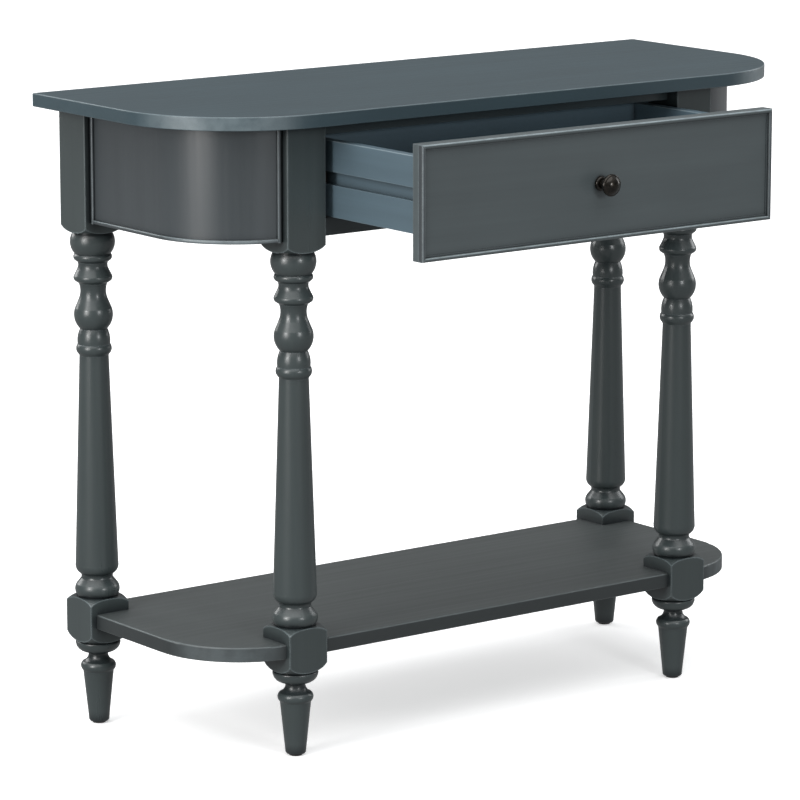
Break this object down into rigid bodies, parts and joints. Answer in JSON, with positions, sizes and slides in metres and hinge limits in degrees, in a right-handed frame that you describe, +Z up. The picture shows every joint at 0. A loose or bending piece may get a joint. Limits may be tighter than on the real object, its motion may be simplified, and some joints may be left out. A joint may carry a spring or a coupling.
{
  "type": "console table",
  "caption": "Narrow console table with rounded front corners, turned legs, a lower shelf and a wide beaded drawer that slides out.",
  "frame": {"origin": "On the floor, below the middle of the table top.", "axes": "+X along the table's length to the viewer's right, -Y to the front where the drawer opens, +Z up."},
  "size_m": [0.914, 0.512, 0.762],
  "materials": {
    "painted_wood": "satin slate grey-green paint, lightly rubbed at the edges",
    "bare_wood": "plain sanded hardwood",
    "bronze": "dark oil-rubbed bronze",
    "screw_steel": "zinc plated",
    "glide_nylon": "dark nylon"
  },
  "bodies": {
    "table": {"back_apron": "painted_wood", "back_cleat": "bare_wood", "foot_glides": "glide_nylon", "front_lower_rail": "painted_wood", "front_upper_rail": "painted_wood", "left_apron_bead_back": "painted_wood", "left_apron_bead_bottom": "painted_wood", "left_apron_bead_front": "painted_wood", "left_back_leg": "painted_wood", "left_front_leg": "painted_wood", "left_runner": "bare_wood", "left_runner_panel": "bare_wood", "left_side_apron": "painted_wood", "left_side_cleat": "bare_wood", "lower_shelf": "painted_wood", "right_apron_bead_back": "painted_wood", "right_apron_bead_bottom": "painted_wood", "right_apron_bead_front": "painted_wood", "right_back_leg": "painted_wood", "right_front_leg": "painted_wood", "right_runner": "bare_wood", "right_runner_panel": "bare_wood", "right_side_apron": "painted_wood", "right_side_cleat": "bare_wood", "runner_screws": "screw_steel", "table_dowels": "bare_wood", "table_top": "painted_wood", "top_screws": "screw_steel"},
    "drawer": {"drawer_back": "painted_wood", "drawer_bead_bottom": "painted_wood", "drawer_bead_left": "painted_wood", "drawer_bead_right": "painted_wood", "drawer_bead_top": "painted_wood", "drawer_bottom": "bare_wood", "drawer_dowels": "bare_wood", "drawer_front": "painted_wood", "drawer_stop": "bare_wood", "knob": "bronze", "knob_rosette": "bronze", "knob_screw": "screw_steel", "left_drawer_side": "painted_wood", "right_drawer_side": "painted_wood", "stop_screws": "screw_steel"}
  },
  "joints": [
    {"name": "drawer_slide", "type": "slide", "parent": "table", "child": "drawer", "axis": [0, -1, 0], "range_m": [-0.176, 0.015]}
  ]
}
